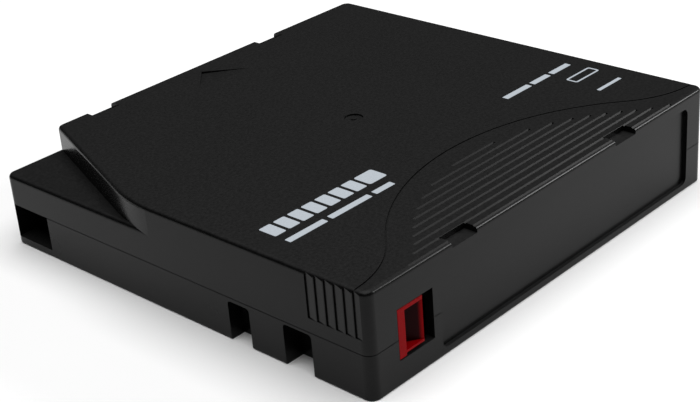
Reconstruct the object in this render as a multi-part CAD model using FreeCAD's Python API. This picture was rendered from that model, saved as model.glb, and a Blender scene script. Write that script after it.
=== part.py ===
import FreeCAD, Part
import math
import os

os.makedirs("parts", exist_ok=True)

# Frame: origin at the middle of the underside, +X along the label face to the
# right when the label is read, +Y in the direction of insertion, +Z up.

# ---- outer case -------------------------------------------------------------
WIDTH = 105.4
DEPTH = 102.0
HEIGHT = 21.5
SEAM_Z = 9.25
CORNER_R = 2.0
TOP_R = 0.9
BASE_R = 0.4
WALL = 2.0
FLOOR = 1.8
CEILING = 1.8
SEAM_GROOVE_H = 0.16
SEAM_GROOVE_DEEP = 0.25
JOIN = 0.3

# ---- lowered front corner ---------------------------------------------------
STEP_Z = 16.0
STEP_FRONT_X = -WIDTH / 2 + 14.7
STEP_BEND_X = -WIDTH / 2 + 2.7
STEP_BEND_Y = DEPTH / 2 - 33.0
STEP_END_Y = DEPTH / 2 - 46.0
STEP_CORNER_R = 1.5

# ---- top of the case --------------------------------------------------------
STACK_NOTCH_X = (-WIDTH / 2 + 25.9, WIDTH / 2 - 29.2)
STACK_NOTCH_W = 7.0
STACK_NOTCH_IN = 3.0
STACK_NOTCH_DROP = 1.2
GATE_R = 2.0
GATE_DEEP = 0.35
GATE_NUB_R = 0.6
GATE_NUB_H = 0.2
ARROW_TIP_Y = DEPTH / 2 - 4.0
ARROW_BASE_Y = ARROW_TIP_Y - 7.8
ARROW_HALF_W = 7.7
ARROW_DEEP = 0.5
BELL_CREST_Y = -DEPTH / 2 + 24.55
BELL_R = 52.6
BELL_OUTER_R = 22.0
BELL_ANGLE = 44.9
BELL_GROOVE_W = 0.35
BELL_GROOVE_DEEP = 0.25
LINE_INSET = 4.8
LINE_FIRST_Y = -DEPTH / 2 + 19.3
LINE_LAST_Y = -DEPTH / 2 + 0.7
LINE_COUNT = 10
LINE_DEEP = 0.3

# ---- label face -------------------------------------------------------------
LABEL_X0 = -WIDTH / 2 + 18.7
LABEL_X1 = WIDTH / 2 - 6.3
LABEL_Z0 = 1.5
LABEL_Z1 = 18.8
LABEL_DEEP = 0.8
LABEL_R = 1.5
WINDOW_X0 = -WIDTH / 2 + 7.2
WINDOW_X1 = WINDOW_X0 + 9.4
WINDOW_Z0 = 4.95
WINDOW_Z1 = 15.2

# ---- sides ------------------------------------------------------------------
THUMB_COUNT = 6
THUMB_FIRST_Y = -DEPTH / 2 + 14.3
THUMB_PITCH = 2.24
THUMB_LONG = 2.0
THUMB_DEEP = 0.25
THUMB_Z0 = 12.1
GRIP1_Y0 = -DEPTH / 2 + 14.0
GRIP1_Y1 = GRIP1_Y0 + 7.0
GRIP1_Z = 8.6
GRIP1_DEEP = 4.3
GRIP2_Y0 = -DEPTH / 2 + 29.7
GRIP2_Y1 = GRIP2_Y0 + 5.6
GRIP2_Z = 8.4
GRIP2_DEEP = 3.3
POCKET_WALL = 1.2
POCKET_R = 0.8
LOADER_Y1 = DEPTH / 2 - 1.2
LOADER_Y0 = LOADER_Y1 - 11.4
LOADER_Z0 = 1.7
LOADER_DEEP = 7.0
LOADER_WALL = 1.0
MOUTH_Y1 = DEPTH / 2 - 4.0
MOUTH_Y0 = MOUTH_Y1 - 20.0
MOUTH_Z0 = 4.0
MOUTH_Z1 = 17.5

# ---- underside --------------------------------------------------------------
SPINDLE_R = 20.5
SCREW_SIDE = 9.7
SCREW_REAR = 14.5
SCREW_XY = (
    (WIDTH / 2 - SCREW_SIDE, -DEPTH / 2 + SCREW_REAR),
    (-WIDTH / 2 + SCREW_SIDE, -DEPTH / 2 + SCREW_REAR),
    (-WIDTH / 2 + 12.2, DEPTH / 2 - 11.5),
    (WIDTH / 2 - 19.2, DEPTH / 2 - 5.5),
)
BOSS_R = 2.8
SCREW_R = 1.15
SCREW_HEAD_R = 2.2
SCREW_HEAD_H = 1.3
SCREW_HEAD_SINK = 0.4
SCREW_TOP_Z = 12.5
BLIND_TOP_Z = 13.2
LOCATE_X = 26.5
LOCATE_Y = DEPTH / 2 - 4.2
LOCATE_SQUARE = 3.6
LOCATE_SLOT = 6.0
LOCATE_DEEP = 3.0
LOCATE_WALL = 1.0
SENSE_X0 = WINDOW_X0 + 0.5
SENSE_X1 = WINDOW_X1 - 0.4
SENSE_Y0 = -DEPTH / 2 + 3.4
SENSE_Y1 = SENSE_Y0 + 2.0

# ---- reel -------------------------------------------------------------------
REEL_SIDE_ROOM = 5.2
REEL_END_ROOM = 3.5
FLANGE_R = min(WIDTH / 2 - REEL_SIDE_ROOM, DEPTH / 2 - REEL_END_ROOM)
FLANGE_T = 1.2
HUB_R = 22.0
HUB_IN_R = 19.8
FLANGE_Z = 2.6
TAPE_W = 12.65
TAPE_GAP = 0.17
HUB_GAP = 0.03
LIP_T = 0.9
LIP_H = 1.5
HUB_FLOOR_Z0 = 3.0
HUB_FLOOR_Z1 = 5.0
DRIVE_R0 = 15.5
DRIVE_R1 = 18.5
DRIVE_Z = 1.2
DRIVE_TEETH = 60
DRIVE_TOOTH = 0.8
BRAKE_R0 = 12.5
BRAKE_R1 = 16.0
BRAKE_Z = 6.5
BRAKE_TEETH = 36
BRAKE_TOOTH = 1.0
LEG_PITCH_R = 9.0
LEG_HOLE_R = 2.2
LEG_R = 1.8
TAPE_R = FLANGE_R - 3.5
CLUTCH_R0 = 2.5
CLUTCH_R1 = 14.0
CLUTCH_Z = 2.0
RIB_GAP = 2.0
RIB_T = 1.2
RIB_LOW_Z = 6.0
RIB_HIGH_Z = 15.0
REEL_TOP_Z = FLANGE_Z + FLANGE_T + TAPE_W + 2 * TAPE_GAP

# ---- brake ------------------------------------------------------------------
POST_HALF = 3.0
POST_Z = 10.3
TUBE_HALF = 4.7
TUBE_GAP = 0.2
TUBE_TOP_Z = 15.0
BUTTON_R = 16.5
BUTTON_Z0 = 6.7
BUTTON_Z1 = 8.2
BUTTON_TOOTH = 0.85
SPRING_R = 7.5
SPRING_WIRE_R = 0.4
SPRING_TURNS = 5
SPRING_END_GAP = 0.02
PAD_Z0 = 5.1
PAD_Z1 = 6.3
PAD_CORNER_R = 2.6
LEG_Z = 2.2

# ---- leader, pin and door ---------------------------------------------------
PIN_X = WIDTH / 2 - 7.7
PIN_Y = DEPTH / 2 - 12.5
PIN_R = 1.25
PIN_Z0 = 2.2
PIN_Z1 = 19.3
PIN_COLLAR_R = 1.9
PIN_COLLAR_T = 0.7
LEADER_T = 0.2
CLAMP_T = 0.5
DOOR_GAP = 0.3
DOOR_T = 1.4
DOOR_LAP = 1.0
DOOR_X1 = WIDTH / 2 - WALL - DOOR_GAP
DOOR_X0 = DOOR_X1 - DOOR_T
DOOR_Y0 = MOUTH_Y0 - DOOR_LAP
DOOR_Y1 = MOUTH_Y1 + DOOR_LAP
DOOR_Z0 = 2.1
DOOR_Z1 = 19.4
DOOR_RIB_Y1 = MOUTH_Y1 - 0.4
DOOR_RIB_Y0 = DOOR_RIB_Y1 - 2.0
DOOR_RIB_X = WIDTH / 2 - 0.4
RAIL_T = 0.7
RAIL_X1 = DOOR_X0 - DOOR_GAP
RAIL_X0 = RAIL_X1 - RAIL_T
RAIL_Y0 = DEPTH / 2 - 43.0
RAIL_Y1 = DEPTH / 2 - WALL + JOIN
RAIL_H = 1.4
DOOR_SPRING_R = 1.0
DOOR_SPRING_WIRE_R = 0.2
DOOR_SPRING_X = DOOR_X0 + 0.2
DOOR_SPRING_Z = 11.0
DOOR_SPRING_L = 39.0
DOOR_SPRING_TURNS = 26
DOOR_STOP_Y = DOOR_Y0 - DOOR_SPRING_L
DOOR_STOP_T = 1.4
DOOR_STOP_W = 1.6
CLAMP_MOUTH = 0.6
LEAF_T = 0.3
LEAF_GAP = 0.1
LEAF_BACK_L = 7.6
LEAF_BACK_Z0 = 5.0
LEAF_BACK_Z1 = 16.4
LEAF_ARM_H = 0.5
LEAF_ARM_OVER = 1.6

# ---- memory board -----------------------------------------------------------
BOARD_L = 19.0
BOARD_W = 9.6
BOARD_T = 0.8
BOARD_X = WIDTH / 2 - 16.2
BOARD_Y = -DEPTH / 2 + 6.0
BOARD_Z = 6.2
WEB_T = 1.5
WEB_OUT = 7.0
WEB_REACH = 4.0
WEB_TOP_Z = 8.6

# ---- write-protect switch ---------------------------------------------------
SWITCH_GAP = 0.2
SWITCH_X1 = WINDOW_X1 - 2.7
SWITCH_RIB_X1 = WINDOW_X0 + 2.0
SWITCH_FLOOR_Z = 6.2
SWITCH_POCKET_DEEP = 3.2
SWITCH_BACK_Y = -DEPTH / 2 + 4.0
SWITCH_TRAVEL = 2.5


def vec(x, y, z):
    return FreeCAD.Vector(x, y, z)


def box(x0, x1, y0, y1, z0, z1):
    return Part.makeBox(x1 - x0, y1 - y0, z1 - z0, vec(x0, y0, z0))


def cyl(r, z0, z1, x=0.0, y=0.0):
    return Part.makeCylinder(r, z1 - z0, vec(x, y, z0))


def ring(outer, inner, z0, z1):
    return cyl(outer, z0, z1).cut(cyl(inner, z0 - 1.0, z1 + 1.0))


def prism(points, z0, z1):
    loop = [vec(x, y, z0) for x, y in points]
    loop.append(loop[0])
    return Part.Face(Part.makePolygon(loop)).extrude(vec(0, 0, z1 - z0))


def one(shapes):
    base = shapes[0]
    if len(shapes) > 1:
        base = base.multiFuse(shapes[1:])
    return base.removeSplitter()


def edges_where(shape, test):
    return [e for e in shape.Edges if test(e)]


def lies_at_z(edge, z):
    b = edge.BoundBox
    return abs(b.ZMin - z) < 1e-4 and abs(b.ZMax - z) < 1e-4


def upright(edge):
    b = edge.BoundBox
    return b.XLength < 1e-4 and b.YLength < 1e-4 and b.ZLength > 1e-3


def rounded_box(half_x, half_y, z0, z1, r):
    solid = box(-half_x, half_x, -half_y, half_y, z0, z1)
    return solid.makeFillet(r, edges_where(solid, upright))


def step_plan(inset, z0, z1):
    # plan of the full-height part: everything behind the lowered front corner
    hx = WIDTH / 2 - inset
    hy = DEPTH / 2 - inset
    along = math.hypot(STEP_BEND_X - STEP_FRONT_X, STEP_BEND_Y - DEPTH / 2)
    nx = (DEPTH / 2 - STEP_BEND_Y) / along * inset
    ny = (STEP_BEND_X - STEP_FRONT_X) / along * inset
    slope = (STEP_BEND_X - STEP_FRONT_X) / (STEP_BEND_Y - DEPTH / 2)
    fx = STEP_FRONT_X + nx + (hy - DEPTH / 2 - ny) * slope
    bend = vec(STEP_BEND_X + nx, STEP_BEND_Y + ny, z0)
    end = vec(-hx, STEP_END_Y, z0)
    mid_x = (bend.x + end.x) / 2 - 0.42 * (bend.x + hx) / 2
    mid = vec(mid_x, (bend.y + end.y) / 2, z0)
    front = vec(fx, hy, z0)
    corners = [vec(hx, hy, z0), vec(hx, -hy, z0), vec(-hx, -hy, z0)]
    wires = [
        Part.makeLine(end, bend) if inset > 5 else Part.Arc(end, mid, bend).toShape(),
        Part.makeLine(bend, front),
        Part.makeLine(front, corners[0]),
        Part.makeLine(corners[0], corners[1]),
        Part.makeLine(corners[1], corners[2]),
        Part.makeLine(corners[2], end),
    ]
    face = Part.Face(Part.Wire(wires))
    solid = face.extrude(vec(0, 0, z1 - z0))

    def corner(edge):
        if not upright(edge):
            return False
        b = edge.BoundBox
        square = abs(abs(b.XMin) - hx) < 1e-3 and abs(abs(b.YMin) - hy) < 1e-3
        return square

    def step_corner(edge):
        b = edge.BoundBox
        return upright(edge) and abs(b.XMin - fx) < 1e-3 and abs(b.YMin - hy) < 1e-3

    r = CORNER_R if inset < 0.01 else 0.6
    solid = solid.makeFillet(r, edges_where(solid, corner))
    return solid.makeFillet(STEP_CORNER_R, edges_where(solid, step_corner))


def outer_body():
    low = rounded_box(WIDTH / 2, DEPTH / 2, 0.0, STEP_Z, CORNER_R)
    low = low.makeFillet(TOP_R, edges_where(low, lambda e: lies_at_z(e, STEP_Z)))
    low = low.makeFillet(BASE_R, edges_where(low, lambda e: lies_at_z(e, 0.0)))
    high = step_plan(0.0, STEP_Z - 3.0, HEIGHT)
    high = high.makeFillet(TOP_R, edges_where(high, lambda e: lies_at_z(e, HEIGHT)))
    return low.fuse(high)


def cavity():
    low = rounded_box(WIDTH / 2 - WALL, DEPTH / 2 - WALL, FLOOR, STEP_Z - CEILING, 0.6)
    high = step_plan(WALL, STEP_Z - CEILING - 1.0, HEIGHT - CEILING)
    return low.fuse(high)


def arc_slot(cx, cy, r, width, a0, a1, z0, z1):
    # a flat curved bar of the given width, from angle a0 to a1 in degrees
    span = Part.makeCylinder(r + width / 2, z1 - z0, vec(cx, cy, z0), vec(0, 0, 1), a1 - a0)
    core = Part.makeCylinder(r - width / 2, z1 - z0 + 2, vec(cx, cy, z0 - 1))
    span.rotate(vec(cx, cy, 0), vec(0, 0, 1), a0)
    return span.cut(core)


def line_half_length(y):
    # half length of a straight groove that stops short of the curved groove
    turn = math.radians(BELL_ANGLE)
    outer_x = (BELL_R + BELL_OUTER_R) * math.sin(turn)
    outer_y = BELL_CREST_Y - BELL_R + (BELL_R + BELL_OUTER_R) * math.cos(turn)
    inner = BELL_R - LINE_INSET
    dy = y - (BELL_CREST_Y - BELL_R)
    cross_y = inner * math.cos(turn)
    if dy > cross_y:
        return math.sqrt(inner * inner - dy * dy)
    reach = BELL_OUTER_R + LINE_INSET
    return outer_x - math.sqrt(max(reach * reach - (y - outer_y) ** 2, 0.0))


def straight_groove(half, y):
    # V groove parallel to X with 45 degree sides
    low = HEIGHT - LINE_DEEP
    wide = LINE_DEEP + 1.0
    loop = [vec(-half, y, low), vec(-half, y + wide, HEIGHT + 1.0),
            vec(-half, y - wide, HEIGHT + 1.0), vec(-half, y, low)]
    return Part.Face(Part.makePolygon(loop)).extrude(vec(2 * half, 0, 0))


def top_cuts():
    cuts = []
    z0 = HEIGHT - BELL_GROOVE_DEEP
    zt = HEIGHT + 1.0
    turn = math.radians(BELL_ANGLE)
    outer_x = (BELL_R + BELL_OUTER_R) * math.sin(turn)
    outer_y = BELL_CREST_Y - BELL_R + (BELL_R + BELL_OUTER_R) * math.cos(turn)
    cuts.append(arc_slot(0, BELL_CREST_Y - BELL_R, BELL_R, BELL_GROOVE_W,
                         90 - BELL_ANGLE, 90 + BELL_ANGLE, z0, zt))
    cuts.append(arc_slot(outer_x, outer_y, BELL_OUTER_R, BELL_GROOVE_W,
                         270 - BELL_ANGLE, 270.0, z0, zt))
    cuts.append(arc_slot(-outer_x, outer_y, BELL_OUTER_R, BELL_GROOVE_W,
                         270.0, 270 + BELL_ANGLE, z0, zt))
    pitch = (LINE_LAST_Y - LINE_FIRST_Y) / (LINE_COUNT - 1)
    for i in range(LINE_COUNT):
        y = LINE_FIRST_Y + pitch * i
        half = line_half_length(y)
        cuts.append(straight_groove(half, y))
    for x in STACK_NOTCH_X:
        for side in (-1, 1):
            edge = side * (DEPTH / 2 + 1.0)
            wall = side * (DEPTH / 2 - STACK_NOTCH_IN)
            y0 = min(edge, wall)
            y1 = max(edge, wall)
            cuts.append(box(x - STACK_NOTCH_W / 2, x + STACK_NOTCH_W / 2, y0, y1,
                            HEIGHT - STACK_NOTCH_DROP, zt))
    gate = cyl(GATE_R, HEIGHT - GATE_DEEP, zt)
    cuts.append(gate.cut(cyl(GATE_NUB_R, HEIGHT - 1.0, HEIGHT - GATE_DEEP + GATE_NUB_H)))
    tip = vec(0, ARROW_TIP_Y, HEIGHT - ARROW_DEEP)
    tip_up = vec(0, ARROW_TIP_Y, zt)
    left = vec(-ARROW_HALF_W, ARROW_BASE_Y, HEIGHT)
    left_up = vec(-ARROW_HALF_W, ARROW_BASE_Y, zt)
    right = vec(ARROW_HALF_W, ARROW_BASE_Y, HEIGHT)
    right_up = vec(ARROW_HALF_W, ARROW_BASE_Y, zt)
    faces = []
    for loop in ((left, right, tip), (left_up, right_up, tip_up),
                 (left, right, right_up, left_up), (right, tip, tip_up, right_up),
                 (tip, left, left_up, tip_up)):
        faces.append(Part.Face(Part.makePolygon(list(loop) + [loop[0]])))
    cuts.append(Part.Solid(Part.Shell(faces)))
    return cuts


def thumb_cuts():
    cuts = []
    x = WIDTH / 2
    for i in range(THUMB_COUNT):
        y = THUMB_FIRST_Y - THUMB_PITCH * i
        tooth = [(x - THUMB_DEEP, y), (x + 1.0, y), (x + 1.0, y - THUMB_LONG), (x, y - THUMB_LONG)]
        cuts.append(prism(tooth, THUMB_Z0, HEIGHT + 1.0))
        cuts.append(prism([(-px, py) for px, py in tooth], THUMB_Z0, HEIGHT + 1.0))
    return cuts


def label_block(y0, y1):
    block = box(LABEL_X0, LABEL_X1, y0, y1, LABEL_Z0, LABEL_Z1)
    runs = [e for e in block.Edges if e.BoundBox.YLength > 1e-3]
    return block.makeFillet(LABEL_R, runs)


def round_top(block, z1):
    # rounds the two upper edges that run along X
    runs = [e for e in block.Edges if lies_at_z(e, z1) and e.BoundBox.XLength > 1.0
            and e.BoundBox.YLength < 1e-3]
    return block.makeFillet(POCKET_R, runs)


def side_pocket(side, y0, y1, z0, z1, deep, grow):
    x_in = WIDTH / 2 - deep - grow
    x_out = WIDTH / 2 + (1.0 if grow == 0 else -1.0)
    if side < 0:
        x_in, x_out = -x_out, -x_in
    block = box(min(x_in, x_out), max(x_in, x_out), y0 - grow, y1 + grow, z0, z1)
    return round_top(block, z1) if grow == 0 else block


def guide_ribs(z0, z1, spans):
    # short curved ribs that keep the loose reel near the middle
    hx = WIDTH / 2 - WALL + JOIN
    hy = DEPTH / 2 - WALL + JOIN
    room = box(-hx, hx, -hy, hy, z0, z1)
    r = FLANGE_R + RIB_GAP + RIB_T / 2
    return [arc_slot(0, 0, r, RIB_T, a0, a1, z0, z1).common(room) for a0, a1 in spans]


def board_frame(shape):
    shape.rotate(vec(0, 0, 0), vec(1, 0, 0), 45)
    shape.translate(vec(BOARD_X, BOARD_Y, BOARD_Z))
    return shape


def pin_seat(z0, z1):
    # horseshoe round one end of the leader pin, open toward the door
    block = box(PIN_X - 3.2, PIN_X + 1.2, PIN_Y - 3.2, PIN_Y + 3.2, z0, z1)
    slot = box(PIN_X, PIN_X + 4.0, PIN_Y - 2.2, PIN_Y + 2.2, z0 - 1, z1 + 1)
    slot = slot.fuse(cyl(2.2, z0 - 1, z1 + 1, PIN_X, PIN_Y))
    return block.cut(slot)


def lower_shell():
    half = box(-WIDTH, WIDTH, -DEPTH, DEPTH, -1, SEAM_Z)
    shell = outer_body().common(half).cut(cavity())
    add = []
    for side in (-1, 1):
        add.append(side_pocket(side, GRIP1_Y0, GRIP1_Y1, 0.5, SEAM_Z, GRIP1_DEEP, POCKET_WALL))
        add.append(side_pocket(side, GRIP2_Y0, GRIP2_Y1, 0.5, SEAM_Z, GRIP2_DEEP, POCKET_WALL))
    add.append(box(-WIDTH / 2 + 1.0, -WIDTH / 2 + LOADER_DEEP + LOADER_WALL,
                   LOADER_Y0 - LOADER_WALL, DEPTH / 2 - 1.0, 0.5, SEAM_Z))
    for x, y in SCREW_XY:
        add.append(cyl(BOSS_R, 0.5, SEAM_Z, x, y))
    s = LOCATE_SQUARE / 2 + LOCATE_WALL
    add.append(box(LOCATE_X - s, LOCATE_X + s, LOCATE_Y - s, DEPTH / 2 - 1.0, 0.5,
                   LOCATE_DEEP + LOCATE_WALL))
    w = LOCATE_SLOT / 2 + LOCATE_WALL
    add.append(box(-LOCATE_X - w, -LOCATE_X + w, LOCATE_Y - s, DEPTH / 2 - 1.0, 0.5,
                   LOCATE_DEEP + LOCATE_WALL))
    add += guide_ribs(FLOOR - JOIN, RIB_LOW_Z, ((105, 160), (196, 250), (324, 345)))
    add.append(box(RAIL_X0, RAIL_X1, RAIL_Y0, RAIL_Y1, FLOOR - JOIN, FLOOR + RAIL_H))
    add.append(pin_seat(FLOOR - 0.5, FLOOR + 1.6))
    rear = -DEPTH / 2 + WALL - JOIN
    for x in (BOARD_X - WEB_OUT, BOARD_X + WEB_OUT - WEB_T):
        add.append(box(x, x + WEB_T, rear, BOARD_Y + WEB_REACH, FLOOR - JOIN, WEB_TOP_Z))
    add.append(box(DOOR_SPRING_X - DOOR_STOP_W, WIDTH / 2 - WALL + JOIN,
                   DOOR_STOP_Y - DOOR_STOP_T, DOOR_STOP_Y, SEAM_Z - 1.2, SEAM_Z))
    shell = shell.multiFuse(add)
    cut = []
    for side in (-1, 1):
        cut.append(side_pocket(side, GRIP1_Y0, GRIP1_Y1, -1.0, GRIP1_Z, GRIP1_DEEP, 0))
        cut.append(side_pocket(side, GRIP2_Y0, GRIP2_Y1, -1.0, GRIP2_Z, GRIP2_DEEP, 0))
    cut.append(box(-WIDTH / 2 - 1.0, -WIDTH / 2 + LOADER_DEEP, LOADER_Y0, LOADER_Y1,
                   LOADER_Z0, SEAM_Z - LOADER_WALL))
    mouth = box(-WIDTH / 2 - 1.0, -WIDTH / 2 + WALL, LOADER_Y0, LOADER_Y1,
                LOADER_Z0, SEAM_Z)
    cut.append(mouth)
    cut.append(cyl(SPINDLE_R, -1.0, FLOOR + 1.0))
    for x, y in SCREW_XY:
        cut.append(cyl(SCREW_R + 0.15, -1.0, SEAM_Z + 1.0, x, y))
        cut.append(cyl(SCREW_HEAD_R + 0.2, -1.0, SCREW_HEAD_SINK + SCREW_HEAD_H, x, y))
    q = LOCATE_SQUARE / 2
    cut.append(box(LOCATE_X - q, LOCATE_X + q, LOCATE_Y - q, LOCATE_Y + q, -1.0, LOCATE_DEEP))
    cut.append(box(-LOCATE_X - LOCATE_SLOT / 2, -LOCATE_X + LOCATE_SLOT / 2,
                   LOCATE_Y - q, LOCATE_Y + q, -1.0, LOCATE_DEEP))
    cut.append(box(SENSE_X0, SENSE_X1, SENSE_Y0, SENSE_Y1, -1.0, FLOOR + 1.0))
    cut.append(box(WINDOW_X0, WINDOW_X1, -DEPTH, -DEPTH / 2 + WALL + 1.0, WINDOW_Z0,
                   SEAM_Z + 1.0))
    cut.append(label_block(-DEPTH, -DEPTH / 2 + WALL))
    cut.append(box(DOOR_X1, WIDTH, MOUTH_Y0, MOUTH_Y1, MOUTH_Z0, SEAM_Z + 1.0))
    cut.append(board_frame(box(-BOARD_L / 2 - 0.1, BOARD_L / 2 + 0.1, -BOARD_W / 2 - 0.1,
                               BOARD_W / 2 + 3.0, -BOARD_T / 2, 12.0)))
    rim = box(-WIDTH, WIDTH, -DEPTH, DEPTH, SEAM_Z - SEAM_GROOVE_H, SEAM_Z + 1.0)
    inner = rounded_box(WIDTH / 2 - SEAM_GROOVE_DEEP, DEPTH / 2 - SEAM_GROOVE_DEEP,
                        0.0, HEIGHT, CORNER_R - SEAM_GROOVE_DEEP)
    cut.append(rim.cut(inner))
    return shell.cut(cut).removeSplitter()


def upper_shell():
    half = box(-WIDTH, WIDTH, -DEPTH, DEPTH, SEAM_Z, HEIGHT + 1.0)
    shell = outer_body().common(half).cut(cavity())
    panel = label_block(-DEPTH / 2 + LABEL_DEEP, -DEPTH / 2 + WALL)
    panel = panel.common(box(-WIDTH, WIDTH, -DEPTH, DEPTH, 0, SEAM_Z + 0.5))
    add = [panel]
    for x, y in SCREW_XY:
        top = STEP_Z - 0.5 if x < 0 < y else HEIGHT - 0.5
        add.append(cyl(BOSS_R, SEAM_Z, top, x, y))
    add.append(box(-POST_HALF, POST_HALF, -POST_HALF, POST_HALF, POST_Z, HEIGHT - 0.5))
    add += guide_ribs(RIB_HIGH_Z, HEIGHT - CEILING + JOIN, ((95, 112), (196, 250), (324, 345)))
    add.append(box(RAIL_X0, RAIL_X1, RAIL_Y0, RAIL_Y1, HEIGHT - CEILING - RAIL_H,
                   HEIGHT - CEILING + JOIN))
    add.append(pin_seat(HEIGHT - CEILING - 1.6, HEIGHT - 0.5))
    add.append(box(DOOR_SPRING_X - DOOR_STOP_W, WIDTH / 2 - WALL + JOIN,
                   DOOR_STOP_Y - DOOR_STOP_T, DOOR_STOP_Y, SEAM_Z, HEIGHT - CEILING + JOIN))
    shell = shell.multiFuse(add)
    cut = top_cuts() + thumb_cuts()
    cut.append(label_block(-DEPTH, -DEPTH / 2 + LABEL_DEEP))
    cut.append(box(WINDOW_X0, WINDOW_X1, -DEPTH, -DEPTH / 2 + WALL + 1.0, SEAM_Z - 1.0,
                   WINDOW_Z1))
    cut.append(box(DOOR_X1, WIDTH, MOUTH_Y0, MOUTH_Y1, SEAM_Z - 1.0, MOUTH_Z1))
    for x, y in SCREW_XY:
        cut.append(cyl(SCREW_R, SEAM_Z - 1.0, BLIND_TOP_Z, x, y))
    return shell.cut(cut).removeSplitter()


def radial_grooves(count, r0, r1, z_wide, z_point, half_w, shift):
    # radial V grooves or ridges: width grows with radius, point at z_point
    mid = (r0 + r1) / 2
    k0 = half_w * r0 / mid
    k1 = half_w * r1 / mid
    base = []
    for r, k in ((r0, k0), (r1, k1)):
        loop = [vec(r, -k, z_wide), vec(r, k, z_wide), vec(r, 0, z_point), vec(r, -k, z_wide)]
        base.append(Part.makePolygon(loop))
    blade = Part.makeLoft(base, True, True)
    blades = []
    for i in range(count):
        b = blade.copy()
        b.rotate(vec(0, 0, 0), vec(0, 0, 1), (i + shift) * 360.0 / count)
        blades.append(b)
    return blades


def leg_centres():
    spots = []
    for i in range(3):
        a = math.radians(90 + 120 * i)
        spots.append((LEG_PITCH_R * math.cos(a), LEG_PITCH_R * math.sin(a)))
    return spots


def reel_hub():
    parts = [
        ring(FLANGE_R, HUB_IN_R - 1.0, FLANGE_Z, FLANGE_Z + FLANGE_T),
        cyl(HUB_R, HUB_FLOOR_Z0, HUB_FLOOR_Z1),
        ring(HUB_R, HUB_IN_R, FLANGE_Z, REEL_TOP_Z),
        ring(DRIVE_R1, DRIVE_R0, DRIVE_Z, HUB_FLOOR_Z0 + 0.5),
        ring(BRAKE_R1, BRAKE_R0, HUB_FLOOR_Z1 - 0.5, BRAKE_Z),
    ]
    hub = one(parts)
    cut = radial_grooves(DRIVE_TEETH, DRIVE_R0 - 0.5, DRIVE_R1 + 0.5, DRIVE_Z - 0.01,
                         DRIVE_Z + DRIVE_TOOTH, 0.72, 0.0)
    cut += radial_grooves(BRAKE_TEETH, BRAKE_R0 - 0.5, BRAKE_R1 + 0.5, BRAKE_Z + 0.01,
                          BRAKE_Z - BRAKE_TOOTH, 1.0, 0.0)
    cut += [cyl(LEG_HOLE_R, 0, 10, x, y) for x, y in leg_centres()]
    return hub.cut(cut)


def upper_flange():
    inner = HUB_IN_R - HUB_GAP - LIP_T
    flange = ring(FLANGE_R, inner, REEL_TOP_Z, REEL_TOP_Z + FLANGE_T)
    lip = ring(HUB_IN_R - HUB_GAP, inner, REEL_TOP_Z - LIP_H, REEL_TOP_Z + JOIN)
    return one([flange, lip])


def clutch_plate():
    plate = ring(CLUTCH_R1, CLUTCH_R0, CLUTCH_Z, HUB_FLOOR_Z0)
    return plate.cut([cyl(LEG_HOLE_R, 0, 10, x, y) for x, y in leg_centres()])


def tape_pack():
    z0 = FLANGE_Z + FLANGE_T + TAPE_GAP
    return ring(TAPE_R, HUB_R + HUB_GAP, z0, z0 + TAPE_W)


def brake_button():
    disc = cyl(BUTTON_R, BUTTON_Z0, BUTTON_Z1)
    tube = box(-TUBE_HALF, TUBE_HALF, -TUBE_HALF, TUBE_HALF, BUTTON_Z1 - 0.5, TUBE_TOP_Z)
    teeth = radial_grooves(BRAKE_TEETH, BRAKE_R0 + 0.3, BRAKE_R1 - 0.3, BUTTON_Z0 + 0.05,
                           BUTTON_Z0 - BUTTON_TOOTH, 0.62, 0.0)
    body = disc.multiFuse([tube] + teeth)
    h = POST_HALF + TUBE_GAP
    return body.cut(box(-h, h, -h, h, BUTTON_Z1, TUBE_TOP_Z + 1))


def brake_release():
    spots = leg_centres()
    pads = [cyl(PAD_CORNER_R, PAD_Z0, PAD_Z1, x, y) for x, y in spots]
    web = []
    for i in range(3):
        x0, y0 = spots[i]
        x1, y1 = spots[(i + 1) % 3]
        s = math.hypot(x1 - x0, y1 - y0)
        nx = (y1 - y0) / s * PAD_CORNER_R
        ny = -(x1 - x0) / s * PAD_CORNER_R
        web.append(prism([(x0, y0), (x0 + nx, y0 + ny), (x1 + nx, y1 + ny), (x1, y1), (0, 0)],
                         PAD_Z0, PAD_Z1))
    legs = [cyl(LEG_R, LEG_Z, PAD_Z0 + 0.5, x, y) for x, y in spots]
    return one(pads + web + legs)


def coil(mean_r, wire_r, pitch, height):
    path = Part.makeHelix(pitch, height, mean_r)
    section = Part.Wire([Part.makeCircle(wire_r, vec(mean_r, 0, 0), vec(0, 1, 0))])
    return Part.Wire(path).makePipeShell([section], True, True)


def brake_spring():
    # one turn of wire after another, joined end to end
    low = BUTTON_Z1 + SPRING_END_GAP + SPRING_WIRE_R
    high = HEIGHT - CEILING - SPRING_END_GAP - SPRING_WIRE_R
    pitch = (high - low) / SPRING_TURNS
    turn = coil(SPRING_R, SPRING_WIRE_R, pitch, pitch)
    turns = []
    for i in range(SPRING_TURNS):
        piece = turn.copy()
        piece.translate(vec(0, 0, low + i * pitch))
        turns.append(piece)
    return turns[0].multiFuse(turns[1:])


def door_spring():
    run = DOOR_SPRING_L - 2 * (SPRING_END_GAP + DOOR_SPRING_WIRE_R)
    spring = coil(DOOR_SPRING_R, DOOR_SPRING_WIRE_R, run / DOOR_SPRING_TURNS, run)
    spring.rotate(vec(0, 0, 0), vec(1, 0, 0), -90)
    start = DOOR_STOP_Y + SPRING_END_GAP + DOOR_SPRING_WIRE_R
    spring.translate(vec(DOOR_SPRING_X, start, DOOR_SPRING_Z))
    return spring


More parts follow.
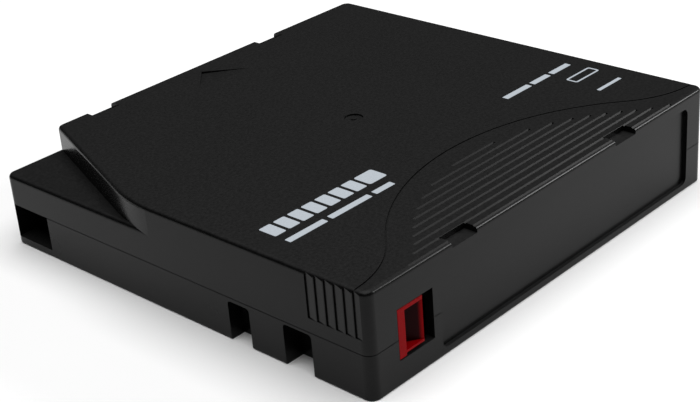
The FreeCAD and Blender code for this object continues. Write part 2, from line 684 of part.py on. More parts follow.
def door():
    plate = box(DOOR_X0, DOOR_X1, DOOR_Y0, DOOR_Y1, DOOR_Z0, DOOR_Z1)
    rib = box(DOOR_X1 - 0.5, DOOR_RIB_X, DOOR_RIB_Y0, DOOR_RIB_Y1, MOUTH_Z0 + 0.6, MOUTH_Z1 - 0.6)
    return one([plate, rib])


def leader_pin():
    z2 = FLANGE_Z + FLANGE_T + TAPE_GAP - 0.4
    z3 = z2 + TAPE_W + 0.8
    pin = [cyl(PIN_R, PIN_Z0, PIN_Z1, PIN_X, PIN_Y)]
    pin.append(cyl(PIN_COLLAR_R, z2 - PIN_COLLAR_T, z2, PIN_X, PIN_Y))
    pin.append(cyl(PIN_COLLAR_R, z3, z3 + PIN_COLLAR_T, PIN_X, PIN_Y))
    solid = one(pin)
    ends = [e for e in solid.Edges if lies_at_z(e, PIN_Z0) or lies_at_z(e, PIN_Z1)]
    return solid.makeChamfer(0.25, ends)


def leader_tangent():
    reach = math.hypot(PIN_X, PIN_Y)
    at = math.atan2(PIN_Y, PIN_X)
    touch_r = TAPE_R + 0.05
    loop_r = PIN_R + LEADER_T
    a = at + math.acos((touch_r + LEADER_T + loop_r - LEADER_T) / reach)
    return touch_r, a


def leader_tape():
    # strip that leaves the pack, crosses the pin on its inner side and loops round it
    touch_r, a = leader_tangent()
    reach = math.hypot(PIN_X, PIN_Y)
    cx = math.cos(a)
    cy = math.sin(a)
    run = math.sqrt(reach * reach - (PIN_R + touch_r) ** 2)
    start = (touch_r * cx, touch_r * cy)
    dx = cy
    dy = -cx
    end = (start[0] + dx * run, start[1] + dy * run)
    t = LEADER_T
    quad = [start, end, (end[0] - cx * t, end[1] - cy * t), (start[0] - cx * t, start[1] - cy * t)]
    quad = [(px + cx * t, py + cy * t) for px, py in quad]
    z0 = FLANGE_Z + FLANGE_T + TAPE_GAP
    strip = prism(quad, z0, z0 + TAPE_W)
    wrap = cyl(PIN_R + t, z0, z0 + TAPE_W, PIN_X, PIN_Y)
    wrap = wrap.cut(cyl(PIN_R, z0 - 1, z0 + TAPE_W + 1, PIN_X, PIN_Y))
    strip = strip.cut(cyl(PIN_R, z0 - 1, z0 + TAPE_W + 1, PIN_X, PIN_Y))
    return one([strip, wrap])


def leader_clamp():
    z0 = FLANGE_Z + FLANGE_T + TAPE_GAP + 0.3
    z1 = z0 + TAPE_W - 0.6
    inner = PIN_R + LEADER_T
    shell = cyl(inner + CLAMP_T, z0, z1, PIN_X, PIN_Y)
    shell = shell.cut(cyl(inner, z0 - 1, z1 + 1, PIN_X, PIN_Y))
    touch_r, a = leader_tangent()
    deg = math.degrees(a)
    mouth = box(-3 * inner, CLAMP_MOUTH / 2, -3 * inner, CLAMP_MOUTH, z0 - 1, z1 + 1)
    mouth.rotate(vec(0, 0, 0), vec(0, 0, 1), deg - 90)
    mouth.translate(vec(PIN_X, PIN_Y, 0))
    return shell.cut(mouth)


def pin_spring():
    # bent leaf: back strip on the front wall, one arm over each end of the pin
    wall_y = DEPTH / 2 - WALL
    x1 = PIN_X + PIN_R + LEAF_GAP
    x2 = x1 + LEAF_T
    low = PIN_Z0 + LEAF_GAP
    high = PIN_Z1 - LEAF_GAP
    parts = [
        box(x2 - LEAF_BACK_L, x2, wall_y - LEAF_T, wall_y, LEAF_BACK_Z0, LEAF_BACK_Z1),
        box(x1, x2, wall_y - LEAF_ARM_OVER, wall_y, low, high),
        box(x1, x2, PIN_Y - LEAF_ARM_OVER, wall_y, low, low + LEAF_ARM_H),
        box(x1, x2, PIN_Y - LEAF_ARM_OVER, wall_y, high - LEAF_ARM_H, high),
    ]
    return one(parts)


def write_protect_switch():
    g = SWITCH_GAP
    x0 = WINDOW_X0 + g
    z0 = WINDOW_Z0 + g
    z1 = WINDOW_Z1 - g
    front = -DEPTH / 2 + 0.1
    body = box(x0, SWITCH_X1, front, SWITCH_BACK_Y, z0, z1)
    # hollow under the finger pocket's floor, seen as a dark gap
    body = body.cut(box(SWITCH_RIB_X1, SWITCH_X1 + 1, front - 1, SWITCH_BACK_Y - 1.0,
                        z0 - 1, SWITCH_FLOOR_Z - 0.5))
    # finger pocket: floor, back that slants forward to the right
    pocket = [(SWITCH_RIB_X1, front - 1.0), (SWITCH_X1 + 1.0, front - 1.0),
              (SWITCH_X1 + 1.0, front + 0.01), (SWITCH_X1, front + 0.01),
              (SWITCH_RIB_X1, front + SWITCH_POCKET_DEEP)]
    body = body.cut(prism(pocket, SWITCH_FLOOR_Z, z1 - 0.8))
    # slide foot that runs behind the wall and down to the sensing slot
    wall_back = -DEPTH / 2 + WALL + g
    foot = box(x0 + 0.2, SWITCH_X1, wall_back, SWITCH_BACK_Y + 1.0, FLOOR + g, z1 + 2.0)
    return one([body, foot])


def memory_board():
    return board_frame(box(-BOARD_L / 2, BOARD_L / 2, -BOARD_W / 2, BOARD_W / 2,
                           -BOARD_T / 2, BOARD_T / 2))


def memory_chip():
    return board_frame(box(-1.8, 1.8, -1.8, 1.8, BOARD_T / 2, BOARD_T / 2 + 0.6))


def memory_antenna():
    z0 = BOARD_T / 2
    z1 = z0 + 0.05
    rings = []
    for i in range(3):
        hx = BOARD_L / 2 - 0.5 - 0.7 * i
        hy = BOARD_W / 2 - 0.5 - 0.7 * i
        outer = box(-hx, hx, -hy, hy, z0, z1)
        rings.append(outer.cut(box(-hx + 0.35, hx - 0.35, -hy + 0.35, hy - 0.35, z0 - 1, z1 + 1)))
    bridge = box(-0.2, 0.2, -BOARD_W / 2 + 0.5, -BOARD_W / 2 + 2.2, z0, z1)
    return board_frame(one(rings + [bridge]))


def case_screws():
    screws = []
    z0 = SCREW_HEAD_SINK
    for x, y in SCREW_XY:
        body = cyl(SCREW_HEAD_R, z0, z0 + SCREW_HEAD_H, x, y)
        body = body.fuse(cyl(SCREW_R, z0 + SCREW_HEAD_H - 0.3, SCREW_TOP_Z, x, y))
        slots = [box(x - 1.3, x + 1.3, y - 0.3, y + 0.3, z0 - 1, z0 + 0.8),
                 box(x - 0.3, x + 0.3, y - 1.3, y + 1.3, z0 - 1, z0 + 0.8)]
        screws.append(body.cut(slots))
    return Part.makeCompound(screws)


NODES = (
    ("lower_shell", lower_shell),
    ("upper_shell", upper_shell),
    ("case_screws", case_screws),
    ("write_protect_switch", write_protect_switch),
    ("door", door),
    ("door_spring", door_spring),
    ("reel_hub", reel_hub),
    ("upper_flange", upper_flange),
    ("clutch_plate", clutch_plate),
    ("tape_pack", tape_pack),
    ("leader_tape", leader_tape),
    ("leader_pin", leader_pin),
    ("leader_clamp", leader_clamp),
    ("pin_spring", pin_spring),
    ("brake_button", brake_button),
    ("brake_spring", brake_spring),
    ("brake_release", brake_release),
    ("memory_board", memory_board),
    ("memory_chip", memory_chip),
    ("memory_antenna", memory_antenna),
)

for name, make in NODES:
    shape = make()
    shape.exportStep("parts/" + name + ".step")
    box_ = shape.BoundBox
    print("%-22s solids %2d  valid %s  vol %9.2f  x %.2f..%.2f y %.2f..%.2f z %.2f..%.2f" % (
        name, len(shape.Solids), shape.isValid(), shape.Volume,
        box_.XMin, box_.XMax, box_.YMin, box_.YMax, box_.ZMin, box_.ZMax))
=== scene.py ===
import math

import bmesh
import bpy
from mathutils import Matrix, Vector


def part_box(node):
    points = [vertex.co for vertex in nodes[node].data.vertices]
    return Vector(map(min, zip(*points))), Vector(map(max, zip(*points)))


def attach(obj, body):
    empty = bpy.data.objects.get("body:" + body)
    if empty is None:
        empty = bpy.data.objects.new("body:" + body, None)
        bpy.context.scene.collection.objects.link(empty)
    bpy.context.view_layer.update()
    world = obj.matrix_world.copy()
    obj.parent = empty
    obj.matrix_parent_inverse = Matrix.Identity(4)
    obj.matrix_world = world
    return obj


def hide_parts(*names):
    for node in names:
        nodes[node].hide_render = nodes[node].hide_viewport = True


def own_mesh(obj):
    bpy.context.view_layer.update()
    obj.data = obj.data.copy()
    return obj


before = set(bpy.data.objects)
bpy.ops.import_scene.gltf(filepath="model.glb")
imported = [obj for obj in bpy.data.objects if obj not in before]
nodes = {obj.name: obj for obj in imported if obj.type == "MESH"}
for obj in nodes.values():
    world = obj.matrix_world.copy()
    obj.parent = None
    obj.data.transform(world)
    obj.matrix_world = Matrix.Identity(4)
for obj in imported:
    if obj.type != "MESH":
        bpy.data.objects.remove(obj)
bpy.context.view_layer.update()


# ---- Case shells and door ----------------------------------------------------
# Two injection-moulded polycarbonate shells, filled black, and a door of the
# same resin. The broad faces come from a spark-eroded mould and are matt; the
# sides and the lowered corner's wall come from polished steel and are satin.
# The sides and walls also get a darker base colour than the top: painted shade.

CASE_BLACK = "#151515"
# painted shade: the sides and walls get a darker base colour than the top
CASE_BLACK_SIDE_PAINTED_SHADE = "#090909"
GRAIN_MM = 0.60             # real spark grain is near 0.08 mm, drawn coarser to show
GRAIN_RELIEF = 0.00003      # metres
CLOUD_MM = 24.0             # slow drift of the melt's gloss over the flat faces
SIDE_ROUGHNESS = 0.26
TOP_ROUGHNESS = 0.50
POLYCARBONATE_IOR = 1.585
FACTOR, COLOUR_A, COLOUR_B, MIXED = 0, 6, 7, 2      # sockets of a Mix node set to colour


def linear(hex_colour):
    """sRGB hex to linear RGBA."""
    out = []
    for i in (1, 3, 5):
        c = int(hex_colour[i:i + 2], 16) / 255.0
        out.append(c / 12.92 if c <= 0.04045 else ((c + 0.055) / 1.055) ** 2.4)
    return out + [1.0]


def add(tree, kind, settings=None, values=None, links=None):
    """Adds a node, sets its properties and sockets, and links its inputs."""
    node = tree.nodes.new(kind)
    for name, value in (settings or {}).items():
        setattr(node, name, value)
    for name, value in (values or {}).items():
        node.inputs[name].default_value = value
    for name, source in (links or {}).items():
        tree.links.new(source, node.inputs[name])
    return node


def new_finish(title):
    """A bare material, its node tree, and the node that gives an object's own coordinates."""
    finish = bpy.data.materials.new(title)
    finish.use_nodes = True
    finish.node_tree.nodes.clear()
    return finish, finish.node_tree, add(finish.node_tree, "ShaderNodeTexCoord")


def finish_node(node_name, material):
    """Gives one carried-over solid its finish."""
    thing = nodes[node_name]
    if not thing.material_slots:
        thing.data.materials.append(material)
    for place in thing.material_slots:
        place.link = "OBJECT"
        place.material = material


case_resin, tree, where = new_finish("moulded_black_polycarbonate")
facing = add(tree, "ShaderNodeSeparateXYZ", links={0: where.outputs["Normal"]})
broad = add(tree, "ShaderNodeMapRange", {"interpolation_type": "SMOOTHSTEP"},
            {"From Min": 0.55, "From Max": 0.98}, {"Value": facing.outputs["Z"]})
cloud = add(tree, "ShaderNodeTexNoise", values={"Scale": 1000.0 / CLOUD_MM, "Detail": 3.0},
            links={"Vector": where.outputs["Object"]})
grain = add(tree, "ShaderNodeTexNoise", values={"Scale": 1000.0 / GRAIN_MM, "Detail": 2.0},
            links={"Vector": where.outputs["Object"]})
# painted shade: steep faces take the darker side colour, upward faces the top colour
facing_painted_shade = add(tree, "ShaderNodeMix", {"data_type": "RGBA"},
           {COLOUR_A: linear(CASE_BLACK_SIDE_PAINTED_SHADE), COLOUR_B: linear(CASE_BLACK)},
           {FACTOR: broad.outputs["Result"]})
speck = add(tree, "ShaderNodeMapRange",
            values={"From Min": 0.3, "From Max": 0.7, "To Min": 0.65, "To Max": 1.4},
            links={"Value": grain.outputs["Fac"]})
shade = add(tree, "ShaderNodeVectorMath", {"operation": "SCALE"},
            links={0: facing_painted_shade.outputs[MIXED], "Scale": speck.outputs["Result"]})
matt = add(tree, "ShaderNodeMapRange",
           values={"To Min": SIDE_ROUGHNESS, "To Max": TOP_ROUGHNESS},
           links={"Value": broad.outputs["Result"]})
drift = add(tree, "ShaderNodeMapRange",
            values={"From Min": 0.3, "From Max": 0.7, "To Min": -0.014, "To Max": 0.018},
            links={"Value": cloud.outputs["Fac"]})
rough = add(tree, "ShaderNodeMath", {"operation": "ADD"},
            links={0: matt.outputs["Result"], 1: drift.outputs["Result"]})
depth = add(tree, "ShaderNodeMapRange", values={"To Min": 0.12, "To Max": 0.45},
            links={"Value": broad.outputs["Result"]})
relief = add(tree, "ShaderNodeBump", values={"Distance": GRAIN_RELIEF},
             links={"Height": grain.outputs["Fac"], "Strength": depth.outputs["Result"]})
skin = add(tree, "ShaderNodeBsdfPrincipled",
           values={"IOR": POLYCARBONATE_IOR, "Specular IOR Level": 0.10},
           links={"Base Color": shade.outputs[0], "Roughness": rough.outputs[0],
                  "Normal": relief.outputs["Normal"]})
add(tree, "ShaderNodeOutputMaterial", links={"Surface": skin.outputs[0]})
for name in ("lower_shell", "upper_shell", "door"):
    finish_node(name, case_resin)


# ---- Printing on the top -----------------------------------------------------
# Pad-printed light grey ink, a few hundredths of a millimetre thick. The
# places of the wording carry plain bars and a plain frame of the same size.

INK_GREY = "#B4BBC2"
INK_GREY_THIN = "#A3AAB1"
INK_THICK = 0.00004
INK_LIFT = 0.000002         # keeps the ink's underside clear of the case's top
SCREEN_MM = 0.4             # spacing of the pad's cloudy spots
TOP_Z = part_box("upper_shell")[1][2]
PRINT_BARS_MM = (
    # left end, right end, middle line, height: all in millimetres on the top
    (-46.7, -43.9, -21.8, 4.4), (-43.1, -40.3, -21.8, 4.4), (-39.5, -36.7, -21.8, 4.4),
    (-35.9, -33.1, -21.8, 4.4), (-32.3, -29.5, -21.8, 4.4), (-28.7, -25.9, -21.8, 4.4),
    (-25.1, -22.3, -21.8, 4.4), (-21.5, -16.6, -21.8, 4.4),
    (-46.7, -37.0, -27.0, 1.5), (-35.8, -25.0, -27.0, 1.5), (-23.8, -18.6, -27.0, 1.5),
    (25.0, 33.4, -20.2, 1.5), (34.4, 40.2, -20.2, 1.5), (41.2, 47.6, -20.2, 1.5),
    (39.0, 47.0, -34.0, 0.9),
)
PRINT_FRAME_MM = (40.0, 48.4, -26.4, 3.0)
FRAME_LINE_MM = 0.45
FRAME_OUTER_R_MM = 0.6
FRAME_INNER_R_MM = 0.3
BAR_ROUNDING = 0.12         # corner radius as a share of a bar's shorter side

ink, tree, where = new_finish("pad_printed_grey_ink")
screen = add(tree, "ShaderNodeTexNoise", values={"Scale": 1000.0 / SCREEN_MM, "Detail": 2.0},
             links={"Vector": where.outputs["Object"]})
body = add(tree, "ShaderNodeMix", {"data_type": "RGBA"},
           {COLOUR_A: linear(INK_GREY_THIN), COLOUR_B: linear(INK_GREY)},
           {FACTOR: screen.outputs["Fac"]})
film = add(tree, "ShaderNodeBsdfPrincipled", values={"Roughness": 0.55, "IOR": 1.5},
           links={"Base Color": body.outputs[MIXED]})
add(tree, "ShaderNodeOutputMaterial", links={"Surface": film.outputs[0]})


def rounded_outline(left, right, middle, tall, r, steps=5):
    """Corner points of a rounded rectangle, anticlockwise. It takes millimetres and gives metres."""
    out = []
    x0, x1, y0, y1 = left + r, right - r, middle - tall / 2 + r, middle + tall / 2 - r
    for cx, cy, start in ((x1, y1, 0), (x0, y1, 90), (x0, y0, 180), (x1, y0, 270)):
        for i in range(steps + 1):
            a = math.radians(start + 90.0 * i / steps)
            out.append(((cx + r * math.cos(a)) / 1000, (cy + r * math.sin(a)) / 1000))
    return out


def printed_shape(mesh, loop, hole=None):
    """Adds one raised ink shape, or an open frame if a hole is given."""
    levels = (TOP_Z + INK_LIFT, TOP_Z + INK_THICK)
    low, high = [[mesh.verts.new((x, y, z)) for x, y in loop] for z in levels]
    count = len(loop)
    for i in range(count):
        j = (i + 1) % count
        mesh.faces.new((low[i], low[j], high[j], high[i]))
    if hole is None:
        mesh.faces.new(high)
        mesh.faces.new(list(reversed(low)))
        return
    low_in, high_in = [[mesh.verts.new((x, y, z)) for x, y in hole] for z in levels]
    for i in range(count):
        j = (i + 1) % count
        mesh.faces.new((low_in[j], low_in[i], high_in[i], high_in[j]))
        mesh.faces.new((high[i], high[j], high_in[j], high_in[i]))
        mesh.faces.new((low[j], low[i], low_in[i], low_in[j]))


def mesh_piece(title, shape, material):
    """Turns a finished bmesh into an object with one material."""
    data = bpy.data.meshes.new(title)
    shape.to_mesh(data)
    shape.free()
    piece = bpy.data.objects.new(title, data)
    bpy.context.scene.collection.objects.link(piece)
    piece.data.materials.append(material)
    return piece


shape = bmesh.new()
for left, right, middle, tall in PRINT_BARS_MM:
    corner = min(tall, right - left) * BAR_ROUNDING
    printed_shape(shape, rounded_outline(left, right, middle, tall, corner))
left, right, middle, tall = PRINT_FRAME_MM
line = FRAME_LINE_MM
printed_shape(shape, rounded_outline(left, right, middle, tall, FRAME_OUTER_R_MM),
              rounded_outline(left + line, right - line, middle, tall - 2 * line, FRAME_INNER_R_MM))
top_print = mesh_piece("top_print", shape, ink)
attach(top_print, "case")


# ---- Write-protect switch ----------------------------------------------------
# One injection-moulded ABS slide in red, glossy where the mould was polished.
# The walls inside its finger pocket get a dark red base colour: painted shade.

SWITCH_RED = "#7C0004"
SWITCH_RED_STREAK = "#700004"
# painted shade colour for the pocket's walls
SWITCH_RED_PAINTED_SHADE = "#1C0002"
STREAK_MM = 2.5             # size of the pigment's faint flow streaks
RIM_MM = 0.1                # the frame round the pocket keeps the plain red, free of painted shade
POCKET_MM = 0.5             # below the rim, depth over which the painted shade comes in
FACE_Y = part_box("write_protect_switch")[0][1]
switch_resin, tree, where = new_finish("glossy_red_abs")
flow = add(tree, "ShaderNodeTexNoise", values={"Scale": 1000.0 / STREAK_MM, "Detail": 3.0},
           links={"Vector": where.outputs["Object"]})
place = add(tree, "ShaderNodeSeparateXYZ", links={0: where.outputs["Object"]})
deep = add(tree, "ShaderNodeMapRange", {"interpolation_type": "SMOOTHSTEP"},
           {"From Min": FACE_Y + RIM_MM / 1000, "From Max": FACE_Y + (RIM_MM + POCKET_MM) / 1000},
           {"Value": place.outputs["Y"]})
facing = add(tree, "ShaderNodeSeparateXYZ", links={0: where.outputs["Normal"]})
steep = add(tree, "ShaderNodeMapRange", values={"From Min": 0.2, "From Max": 0.8,
                                                "To Min": 1.0, "To Max": 0.0},
            links={"Value": facing.outputs["Z"]})
# painted shade: steep walls deep in the pocket turn to the dark red
pocket_painted_shade = add(tree, "ShaderNodeMath", {"operation": "MULTIPLY"},
           links={0: deep.outputs["Result"], 1: steep.outputs["Result"]})
bright = add(tree, "ShaderNodeMix", {"data_type": "RGBA"},
             {COLOUR_A: linear(SWITCH_RED_STREAK), COLOUR_B: linear(SWITCH_RED)},
             {FACTOR: flow.outputs["Fac"]})
body = add(tree, "ShaderNodeMix", {"data_type": "RGBA"}, {COLOUR_B: linear(SWITCH_RED_PAINTED_SHADE)},
           {FACTOR: pocket_painted_shade.outputs[0], COLOUR_A: bright.outputs[MIXED]})
haze = add(tree, "ShaderNodeMapRange", values={"To Min": 0.30, "To Max": 0.42},
           links={"Value": flow.outputs["Fac"]})
gloss = add(tree, "ShaderNodeBsdfPrincipled", values={"IOR": 1.53, "Specular IOR Level": 0.03},
            links={"Base Color": body.outputs[MIXED], "Roughness": haze.outputs["Result"]})
add(tree, "ShaderNodeOutputMaterial", links={"Surface": gloss.outputs[0]})
finish_node("write_protect_switch", switch_resin)


# ---- Reel: hub, upper flange and release pad ---------------------------------
# Natural polycarbonate, pale grey and satin. Its mould inserts are turned on a
# lathe, which leaves faint rings round the spindle axis.

RING_MM = 0.8               # real rings are near 0.1 mm apart, drawn coarser to show
RING_RELIEF = 0.00001       # metres
WAVE_MM = 1000.0 * math.tau / 20.0      # a wave texture's pitch at scale 1
reel_resin, tree, where = new_finish("light_grey_polycarbonate")
rings = add(tree, "ShaderNodeTexWave",
            {"wave_type": "RINGS", "rings_direction": "Z", "wave_profile": "SIN"},
            {"Scale": WAVE_MM / RING_MM, "Distortion": 0.0},
            {"Vector": where.outputs["Object"]})
body = add(tree, "ShaderNodeMix", {"data_type": "RGBA"},
           {COLOUR_A: linear("#C2C3C0"), COLOUR_B: linear("#D0D1CD")}, {FACTOR: rings.outputs["Fac"]})
lathe = add(tree, "ShaderNodeBump", values={"Distance": RING_RELIEF, "Strength": 0.25},
            links={"Height": rings.outputs["Fac"]})
satin = add(tree, "ShaderNodeBsdfPrincipled", values={"IOR": POLYCARBONATE_IOR, "Roughness": 0.38},
            links={"Base Color": body.outputs[MIXED], "Normal": lathe.outputs["Normal"]})
add(tree, "ShaderNodeOutputMaterial", links={"Surface": satin.outputs[0]})
for name in ("reel_hub", "upper_flange", "brake_release"):
    finish_node(name, reel_resin)


# ---- Wound tape and leader strip ---------------------------------------------
# Polyester film with a black-brown magnetic coat. The pack's flat sides show
# the edges of the turns as very fine rings; the strip is plain and glossy.

TURN_MM = 0.50              # real turns are near 0.006 mm apart, drawn coarser to show
tape_film, tree, where = new_finish("coated_polyester_film")
turns = add(tree, "ShaderNodeTexWave",
            {"wave_type": "RINGS", "rings_direction": "Z", "wave_profile": "SAW"},
            {"Scale": WAVE_MM / TURN_MM, "Distortion": 0.4, "Detail": 2.0},
            {"Vector": where.outputs["Object"]})
body = add(tree, "ShaderNodeMix", {"data_type": "RGBA"},
           {COLOUR_A: linear("#1E1816"), COLOUR_B: linear("#332A26")}, {FACTOR: turns.outputs["Fac"]})
edge = add(tree, "ShaderNodeBump", values={"Distance": RING_RELIEF, "Strength": 0.3},
           links={"Height": turns.outputs["Fac"]})
coat = add(tree, "ShaderNodeBsdfPrincipled", values={"IOR": 1.6, "Roughness": 0.24},
           links={"Base Color": body.outputs[MIXED], "Normal": edge.outputs["Normal"]})
add(tree, "ShaderNodeOutputMaterial", links={"Surface": coat.outputs[0]})
for name in ("tape_pack", "leader_tape"):
    finish_node(name, tape_film)


# ---- Steel: clutch plate, leader pin, springs and screws ---------------------
# The plate is stamped stainless sheet and the pin is ground bar. The springs
# are drawn wire and strip, and the screws have a dark zinc coat. A fine grit
# in tone and gloss keeps them from looking like chrome.

GRIT_MM = 0.5               # drawn coarser than the real grinding marks, to show
for title, dark, light, worn, wearers in (
        ("ground_stainless_steel", "#8F9092", "#B5B6B8", 0.30, ("clutch_plate", "leader_pin")),
        ("drawn_spring_steel", "#77787B", "#9A9B9E", 0.34,
         ("door_spring", "brake_spring", "pin_spring")),
        ("dark_zinc_coated_steel", "#3A3B3D", "#525356", 0.42, ("case_screws",))):
    steel, tree, where = new_finish(title)
    grit = add(tree, "ShaderNodeTexNoise", values={"Scale": 1000.0 / GRIT_MM, "Detail": 4.0},
               links={"Vector": where.outputs["Object"]})
    body = add(tree, "ShaderNodeMix", {"data_type": "RGBA"},
               {COLOUR_A: linear(dark), COLOUR_B: linear(light)}, {FACTOR: grit.outputs["Fac"]})
    brush = add(tree, "ShaderNodeMapRange", values={"To Min": worn - 0.06, "To Max": worn + 0.08},
                links={"Value": grit.outputs["Fac"]})
    metal = add(tree, "ShaderNodeBsdfPrincipled", values={"Metallic": 1.0},
                links={"Base Color": body.outputs[MIXED], "Roughness": brush.outputs["Result"]})
    add(tree, "ShaderNodeOutputMaterial", links={"Surface": metal.outputs[0]})
    for name in wearers:
        finish_node(name, steel)


# ---- Coil springs of the door and the brake ----------------------------------
# Round spring wire wound into open coils. Each stands against the case at one
# end and against its sliding piece at the other.

spring_steel = bpy.data.materials["drawn_spring_steel"]
WIRE_SIDES = 8
STEPS_PER_TURN = 24


def coil_mesh(title, low, high, along, turns, wire_r):
    """A helix of round wire that fills the box from low to high, wound along one axis."""
    across = [k for k in range(3) if k != along]
    middle = [(low[k] + high[k]) / 2 for k in range(3)]
    mean_r = (high[across[0]] - low[across[0]]) / 2 - wire_r
    start, end = low[along] + wire_r, high[along] - wire_r
    shape = bmesh.new()
    last = None
    count = turns * STEPS_PER_TURN
    for step in range(count + 1):
        turn = 2 * math.pi * step / STEPS_PER_TURN
        ring = []
        for side in range(WIRE_SIDES):
            a = 2 * math.pi * side / WIRE_SIDES
            reach = mean_r + wire_r * math.cos(a)
            place = [0.0, 0.0, 0.0]
            place[along] = start + (end - start) * step / count + wire_r * math.sin(a)
            place[across[0]] = middle[across[0]] + reach * math.cos(turn)
            place[across[1]] = middle[across[1]] + reach * math.sin(turn)
            ring.append(shape.verts.new(place))
        if last is None:
            shape.faces.new(ring)
        else:
            for side in range(WIRE_SIDES):
                nxt = (side + 1) % WIRE_SIDES
                shape.faces.new((last[side], last[nxt], ring[nxt], ring[side]))
        last = ring
    shape.faces.new(list(reversed(last)))
    bmesh.ops.recalc_face_normals(shape, faces=shape.faces)
    for face in shape.faces:
        face.smooth = len(face.verts) < WIRE_SIDES      # the wire's two cut ends stay flat
    return mesh_piece(title, shape, spring_steel)


COIL_SPRINGS = (
    # piece, node, axis, turns, wire radius, joint, travel, end that stays
    ("door_return_coil", "door_spring", 1, 26, 0.0002, "door_slide", 0.017, 0),
    ("brake_return_coil", "brake_spring", 2, 5, 0.0004, "brake_lift", 0.0018, 1),
)
for title, node, along, turns, wire_r, joint, travel, fixed in COIL_SPRINGS:
    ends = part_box(node)
    coil = coil_mesh(title, ends[0], ends[1], along, turns, wire_r)
    line = [0.0, 0.0, 0.0]
    line[along] = 1.0
    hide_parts(node)
    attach(coil, "case")
    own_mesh(coil)


# ---- Brake button and leader clamp -------------------------------------------
# Black acetal, moulded: slippery and slightly waxy, so it needs no grease.

BLOOM_MM = 3.0
acetal, tree, where = new_finish("black_acetal")
bloom = add(tree, "ShaderNodeTexNoise", values={"Scale": 1000.0 / BLOOM_MM, "Detail": 3.0},
            links={"Vector": where.outputs["Object"]})
body = add(tree, "ShaderNodeMix", {"data_type": "RGBA"},
           {COLOUR_A: linear("#232326"), COLOUR_B: linear("#2E2E32")}, {FACTOR: bloom.outputs["Fac"]})
wax = add(tree, "ShaderNodeBsdfPrincipled", values={"IOR": 1.48, "Roughness": 0.42},
          links={"Base Color": body.outputs[MIXED]})
add(tree, "ShaderNodeOutputMaterial", links={"Surface": wax.outputs[0]})
for name in ("brake_button", "leader_clamp"):
    finish_node(name, acetal)


# ---- Memory board ------------------------------------------------------------
# A tiny glass-epoxy board with glossy green solder mask, a flat copper coil
# that works as its antenna, and one chip under a drop of black potting resin.

WEAVE_MM = 0.6              # spacing of the glass cloth's threads under the mask
for title, dark, light, shine, metallic, wearers in (
        ("green_solder_mask", "#0E3B22", "#14502E", 0.32, 0.0, ("memory_board",)),
        ("gold_flashed_copper", "#B98A4A", "#D0A463", 0.30, 1.0, ("memory_antenna",)),
        ("black_potting_resin", "#0C0C0D", "#161618", 0.36, 0.0, ("memory_chip",))):
    layer, tree, where = new_finish(title)
    weave = add(tree, "ShaderNodeTexNoise", values={"Scale": 1000.0 / WEAVE_MM, "Detail": 2.0},
                links={"Vector": where.outputs["Object"]})
    body = add(tree, "ShaderNodeMix", {"data_type": "RGBA"},
               {COLOUR_A: linear(dark), COLOUR_B: linear(light)}, {FACTOR: weave.outputs["Fac"]})
    face = add(tree, "ShaderNodeBsdfPrincipled",
               values={"Roughness": shine, "Metallic": metallic},
               links={"Base Color": body.outputs[MIXED]})
    add(tree, "ShaderNodeOutputMaterial", links={"Surface": face.outputs[0]})
    for name in wearers:
        finish_node(name, layer)


# ---- Floor -------------------------------------------------------------------
# A white studio sheet, seamless and matt. It isn't part of the object.

FLOOR_HALF = 3.0
FIBRE_MM = 125.0
paper, tree, where = new_finish("matt_white_paper")
fibre = add(tree, "ShaderNodeTexNoise", values={"Scale": 1000.0 / FIBRE_MM, "Detail": 2.0},
            links={"Vector": where.outputs["Object"]})
body = add(tree, "ShaderNodeMix", {"data_type": "RGBA"},
           {COLOUR_A: linear("#F6F6F6"), COLOUR_B: linear("#FBFBFB")},
           {FACTOR: fibre.outputs["Fac"]})
pulp = add(tree, "ShaderNodeBsdfPrincipled", values={"Roughness": 0.9},
           links={"Base Color": body.outputs[MIXED]})
add(tree, "ShaderNodeOutputMaterial", links={"Surface": pulp.outputs[0]})
sheet = bmesh.new()
sheet.faces.new([sheet.verts.new((x * FLOOR_HALF, y * FLOOR_HALF, 0.0))
                 for x, y in ((-1, -1), (1, -1), (1, 1), (-1, 1))])
mesh_piece("studio_floor", sheet, paper)


# ---- Light -------------------------------------------------------------------
# A broad soft box overhead keeps the sheet white, and a low wide one at the
# right draws the bright line along the label face's upper edge. The room is
# dim, so the matt top reads darker than the satin sides, which mirror the sheet.

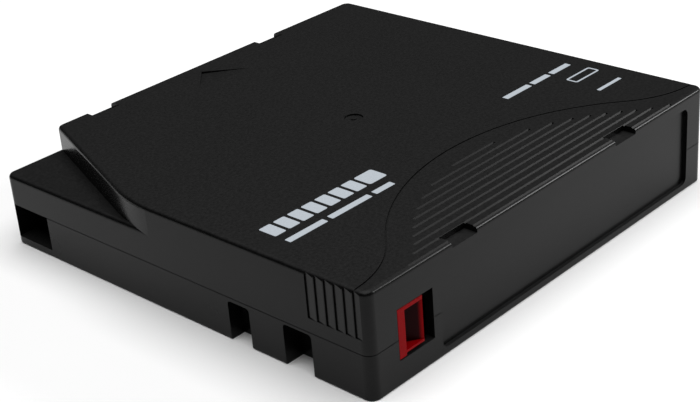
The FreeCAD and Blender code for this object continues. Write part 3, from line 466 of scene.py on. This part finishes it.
ROOM_STRENGTH = 0.04
LIT_POINT = Vector((0.0, 0.0, 0.01))
SOFT_BOXES = (
    # name, place, width, height, power in watts
    ("overhead_soft_box", (0.0, -0.05, 1.4), 1.8, 1.8, 30.0),
    ("right_soft_box", (0.97, -0.77, 0.55), 0.42, 0.16, 9.0),
)
for title, place, wide, tall, power in SOFT_BOXES:
    lamp = bpy.data.lights.new(title, "AREA")
    lamp.shape = "RECTANGLE"
    lamp.size = wide
    lamp.size_y = tall
    lamp.energy = power
    holder = bpy.data.objects.new(title, lamp)
    holder.location = place
    aim = LIT_POINT - Vector(place)
    holder.rotation_euler = aim.to_track_quat("-Z", "Y").to_euler()
    bpy.context.scene.collection.objects.link(holder)

room = bpy.data.worlds.new("dim_room")
bpy.context.scene.world = room
room.use_nodes = True
walls = room.node_tree.nodes["Background"]
walls.inputs["Color"].default_value = (1.0, 1.0, 1.0, 1.0)
walls.inputs["Strength"].default_value = ROOM_STRENGTH
bpy.context.scene.view_settings.view_transform = "Standard"


# ---- Camera ------------------------------------------------------------------
# A long lens above the corner between the label face and the left side, a
# little rolled. It looks down at about 27 degrees.

CAMERA_TURN = math.radians(-45.22)
CAMERA_RISE = math.radians(26.61)
CAMERA_ROLL = math.radians(-4.69)
CAMERA_AWAY = 0.3030
LENS_MM = 77.3
SENSOR_MM = 36.0
LOOKS_AT = Vector((-0.01247, -0.00932, 0.0100))
back = Vector((math.sin(CAMERA_TURN) * math.cos(CAMERA_RISE),
               -math.cos(CAMERA_TURN) * math.cos(CAMERA_RISE), math.sin(CAMERA_RISE)))
level = Vector((0.0, 0.0, 1.0)).cross(back).normalized()
rise = back.cross(level)
right = math.cos(CAMERA_ROLL) * level + math.sin(CAMERA_ROLL) * rise
up = -math.sin(CAMERA_ROLL) * level + math.cos(CAMERA_ROLL) * rise
spot = LOOKS_AT + back * CAMERA_AWAY
lens = bpy.data.cameras.new("camera")
lens.lens = LENS_MM
lens.sensor_width = SENSOR_MM
lens.clip_start = 0.01
camera = bpy.data.objects.new("camera", lens)
camera.matrix_world = Matrix((
    (right.x, up.x, back.x, spot.x),
    (right.y, up.y, back.y, spot.y),
    (right.z, up.z, back.z, spot.z),
    (0.0, 0.0, 0.0, 1.0)))
bpy.context.scene.collection.objects.link(camera)
bpy.context.scene.camera = camera
